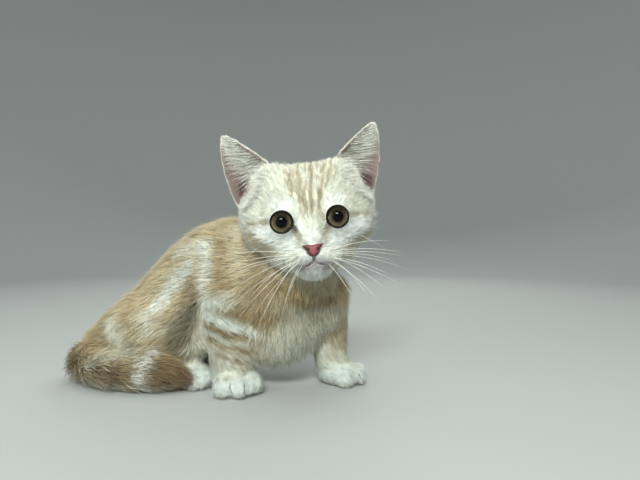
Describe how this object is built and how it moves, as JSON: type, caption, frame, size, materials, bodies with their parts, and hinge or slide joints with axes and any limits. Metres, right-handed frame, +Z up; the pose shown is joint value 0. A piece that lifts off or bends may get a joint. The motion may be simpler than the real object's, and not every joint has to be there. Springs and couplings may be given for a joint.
{
  "type": "munchkin kitten, sitting",
  "caption": "Still, life-size short-legged munchkin kitten with a cream and ginger coat, sitting with its tail round its hip and its head turned to the viewer.",
  "frame": {"origin": "the middle of the bounding box's bottom, on the floor between the paws", "axes": "+Z up, +X from the rump towards the forequarters, and the cat's right side faces -Y"},
  "size_m": [0.2292, 0.1372, 0.1855],
  "materials": {
    "ginger_coat": "soft ginger fur",
    "cream_coat": "soft cream fur with ginger bars",
    "white_coat": "soft white fur",
    "ear_skin": "thin pink ear skin under fine pale hair",
    "nose_leather": "moist pink nose leather",
    "eye": "clear wet cornea over an olive brown iris"
  },
  "bodies": {
    "root": {"head": "cream_coat", "nose": "nose_leather", "ear_right": "ear_skin", "ear_left": "ear_skin", "eye_right": "eye", "eye_left": "eye", "neck": "ginger_coat", "forepaw_right": "white_coat", "forepaw_left": "white_coat", "foreleg_right": "cream_coat", "foreleg_left": "cream_coat", "hindpaw_right": "white_coat", "hindpaw_left": "white_coat", "hindleg_right": "ginger_coat", "hindleg_left": "ginger_coat", "tail_base": "ginger_coat", "tail_middle": "ginger_coat", "tail_tip": "ginger_coat", "chest": "ginger_coat", "loins": "ginger_coat"}
  },
  "joints": []
}
